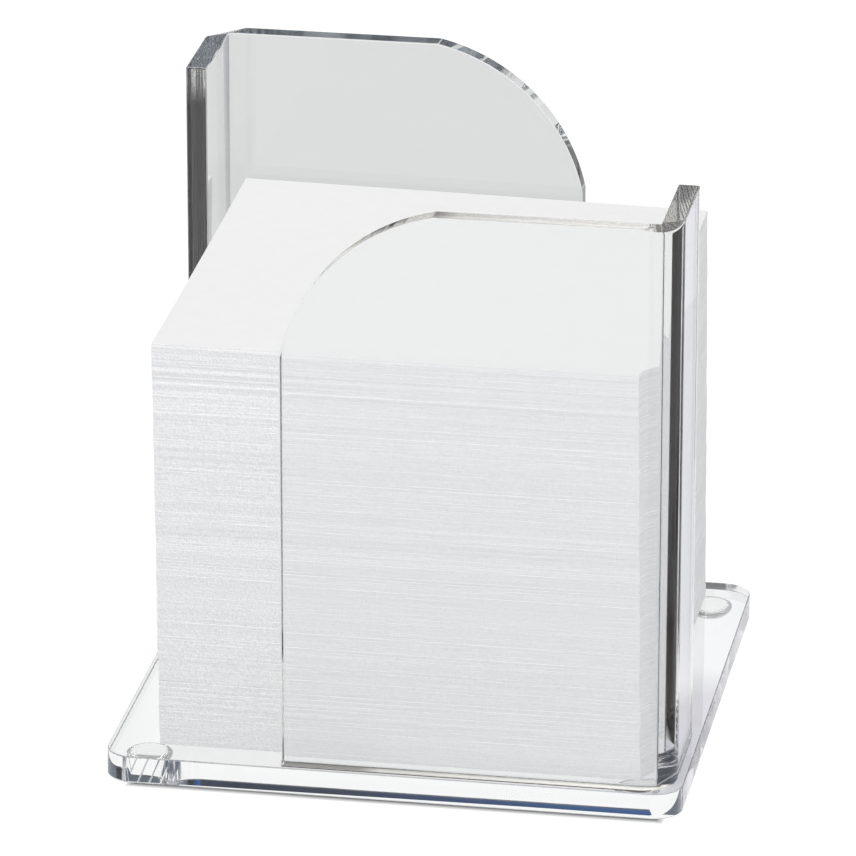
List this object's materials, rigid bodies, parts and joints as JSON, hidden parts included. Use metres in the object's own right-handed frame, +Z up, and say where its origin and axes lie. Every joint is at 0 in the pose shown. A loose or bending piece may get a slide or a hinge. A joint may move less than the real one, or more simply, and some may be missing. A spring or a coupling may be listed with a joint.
{
  "type": "memo cube holder",
  "caption": "Clear acrylic desk holder for loose memo sheets: rounded base plate on bumper feet, with a bent corner wall at each of two opposite corners.",
  "frame": {"origin": "middle of the footprint, on the surface the feet stand on", "axes": "+X to the right along the front, +Y to the back, +Z up"},
  "size_m": [0.108, 0.104, 0.1164],
  "materials": {
    "clear_acrylic": "clear cast acrylic sheet, flame-polished edges",
    "solvent_cement": "dried solvent cement film",
    "clear_bumper": "clear polyurethane bumper",
    "memo_paper": "uncoated white writing paper"
  },
  "bodies": {
    "holder": {"base_plate": "clear_acrylic", "front_corner_wall": "clear_acrylic", "rear_corner_wall": "clear_acrylic", "front_wall_cement": "solvent_cement", "rear_wall_cement": "solvent_cement", "foot_front_left": "clear_bumper", "foot_front_right": "clear_bumper", "foot_rear_left": "clear_bumper", "foot_rear_right": "clear_bumper"},
    "memo_block": {"memo_stack": "memo_paper"},
    "loose_sheet": {"top_sheet": "memo_paper"}
  },
  "joints": [
    {"name": "block_lift", "type": "slide", "parent": "holder", "child": "memo_block", "axis": [0, 0, 1], "range_m": [0, 0.115]},
    {"name": "sheet_lift", "type": "slide", "parent": "memo_block", "child": "loose_sheet", "axis": [0, 0, 1], "range_m": [0, 0.04]}
  ]
}
